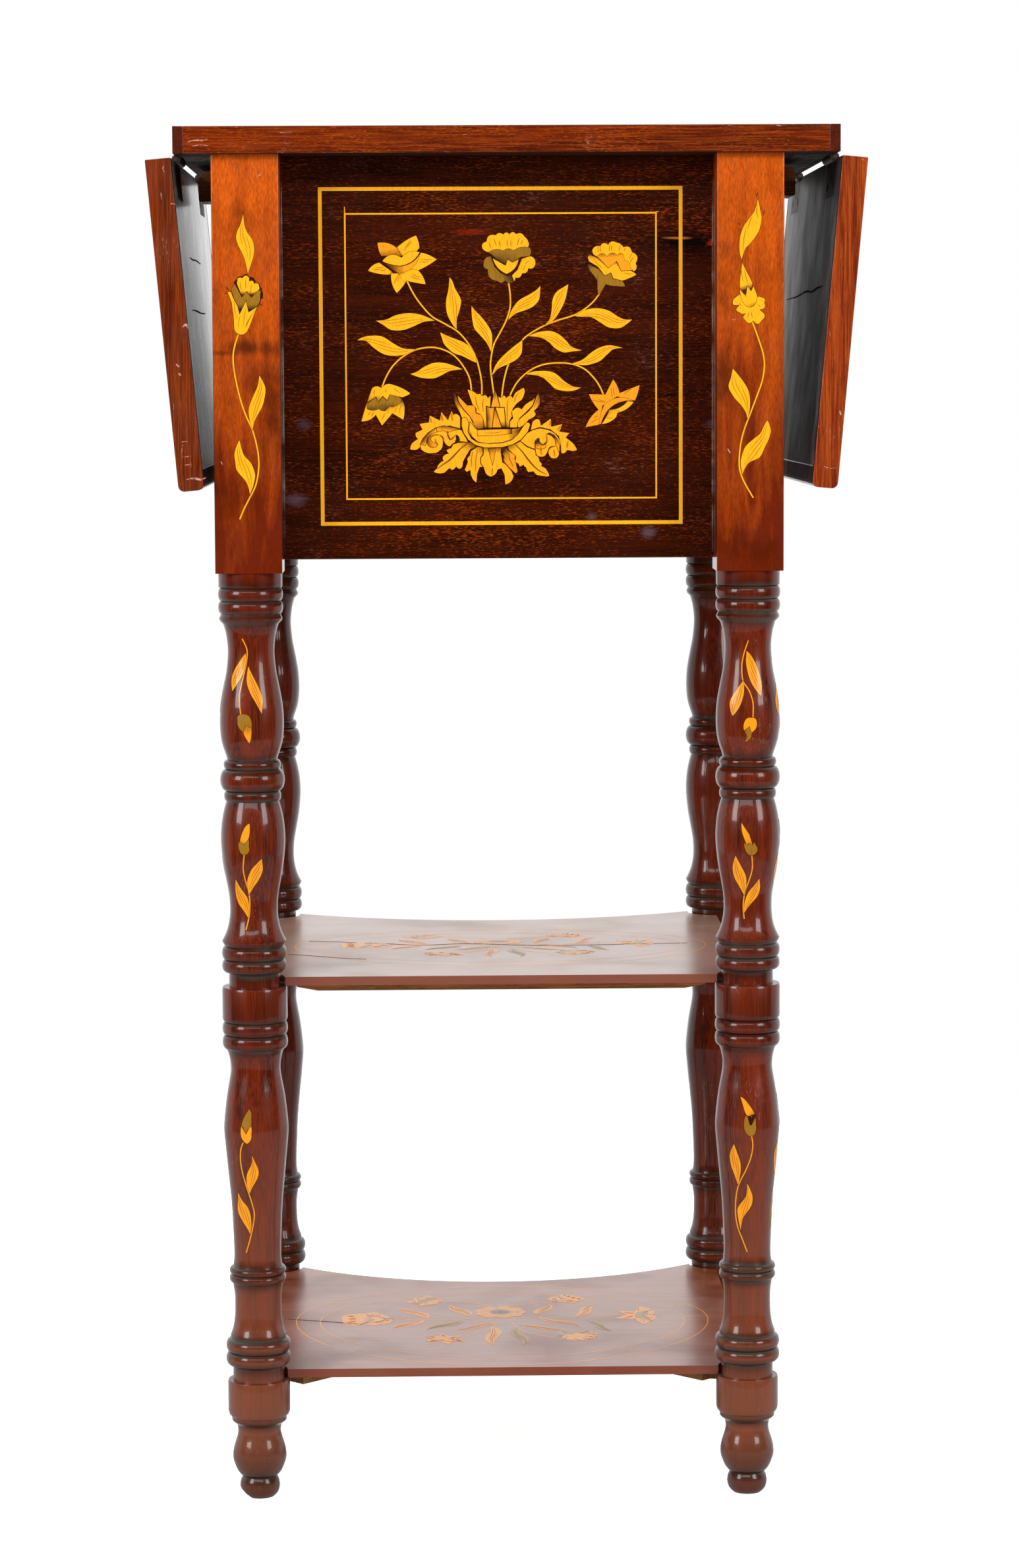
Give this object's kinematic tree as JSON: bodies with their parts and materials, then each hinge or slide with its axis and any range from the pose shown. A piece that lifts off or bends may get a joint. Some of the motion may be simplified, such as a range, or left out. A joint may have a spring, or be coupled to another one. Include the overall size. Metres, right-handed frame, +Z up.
{
  "type": "drop leaf side table",
  "caption": "Tall side table with hanging drop leaves, a case with drawers and a floral marquetry panel, and thin hollow-fronted shelves between ring-turned legs.",
  "frame": {"origin": "on the floor below the middle of the fixed top", "axes": "+Z up, -Y the back with the marquetry panel, +Y the drawer side, +X to the right seen from the back"},
  "size_m": [0.4002, 0.34, 0.78],
  "materials": {
    "top_mahogany": "satin polish",
    "leaf_mahogany": "satin polish",
    "leg_mahogany": "glossy polish",
    "panel_mahogany": "satin polish",
    "side_mahogany": "satin polish",
    "rail_mahogany": "satin polish",
    "shelf_mahogany": "worn polish",
    "drawer_front_mahogany": "satin polish",
    "drawer_oak": "raw",
    "runner_oak": "raw",
    "loper_oak": "dark stain",
    "batten_pine": "raw",
    "dowel_oak": "raw",
    "knob_mahogany": "glossy polish",
    "hinge_iron": "dark, worn"
  },
  "bodies": {
    "frame": {"back_panel": "panel_mahogany", "bottom_rail": "rail_mahogany", "left_hinge_pins": "hinge_iron", "left_hinge_top_plates": "hinge_iron", "leg_back_left": "leg_mahogany", "leg_back_right": "leg_mahogany", "leg_front_left": "leg_mahogany", "leg_front_right": "leg_mahogany", "loper_bearer": "runner_oak", "lower_runner_left": "runner_oak", "lower_runner_right": "runner_oak", "lower_shelf": "shelf_mahogany", "lower_shelf_bearers": "runner_oak", "lower_shelf_dowels": "dowel_oak", "middle_rail": "rail_mahogany", "middle_shelf": "shelf_mahogany", "middle_shelf_batten": "batten_pine", "middle_shelf_dowels": "dowel_oak", "right_hinge_pins": "hinge_iron", "right_hinge_top_plates": "hinge_iron", "side_panel_left": "side_mahogany", "side_panel_right": "side_mahogany", "top_dowels": "dowel_oak", "top_lipping_back": "top_mahogany", "top_lipping_front": "top_mahogany", "top_lipping_left": "top_mahogany", "top_lipping_right": "top_mahogany", "top_panel": "top_mahogany", "top_rail": "rail_mahogany", "upper_runner_left": "runner_oak", "upper_runner_right": "runner_oak"},
    "left_leaf": {"left_hinge_leaf_plates": "hinge_iron", "left_leaf_end_lippings": "leaf_mahogany", "left_leaf_outer_lipping": "leaf_mahogany", "left_leaf_panel": "leaf_mahogany"},
    "right_leaf": {"right_hinge_leaf_plates": "hinge_iron", "right_leaf_end_lippings": "leaf_mahogany", "right_leaf_outer_lipping": "leaf_mahogany", "right_leaf_panel": "leaf_mahogany"},
    "left_loper": {"left_loper": "loper_oak", "left_loper_stop": "loper_oak"},
    "right_loper": {"right_loper": "loper_oak", "right_loper_stop": "loper_oak"},
    "upper_drawer": {"upper_drawer_back": "drawer_oak", "upper_drawer_bottom": "drawer_oak", "upper_drawer_front": "drawer_front_mahogany", "upper_drawer_knob": "knob_mahogany", "upper_drawer_sides": "drawer_oak"},
    "lower_drawer": {"lower_drawer_back": "drawer_oak", "lower_drawer_bottom": "drawer_oak", "lower_drawer_front": "drawer_front_mahogany", "lower_drawer_knob": "knob_mahogany", "lower_drawer_sides": "drawer_oak"}
  },
  "joints": [
    {"name": "left_leaf_hinge", "type": "hinge", "parent": "frame", "child": "left_leaf", "pos_m": [-0.18475, 0, 0.7638], "axis": [0, 1, 0], "range_deg": [-1, 95.15]},
    {"name": "right_leaf_hinge", "type": "hinge", "parent": "frame", "child": "right_leaf", "pos_m": [0.18475, 0, 0.7638], "axis": [0, -1, 0], "range_deg": [-4, 95.15]},
    {"name": "left_loper_slide", "type": "slide", "parent": "frame", "child": "left_loper", "axis": [-1, 0, 0], "range_m": [-0.018, 0.003]},
    {"name": "right_loper_slide", "type": "slide", "parent": "frame", "child": "right_loper", "axis": [1, 0, 0], "range_m": [-0.018, 0.012]},
    {"name": "upper_drawer_slide", "type": "slide", "parent": "frame", "child": "upper_drawer", "axis": [0, 1, 0], "range_m": [0, 0.17]},
    {"name": "lower_drawer_slide", "type": "slide", "parent": "frame", "child": "lower_drawer", "axis": [0, 1, 0], "range_m": [0, 0.17]}
  ]
}
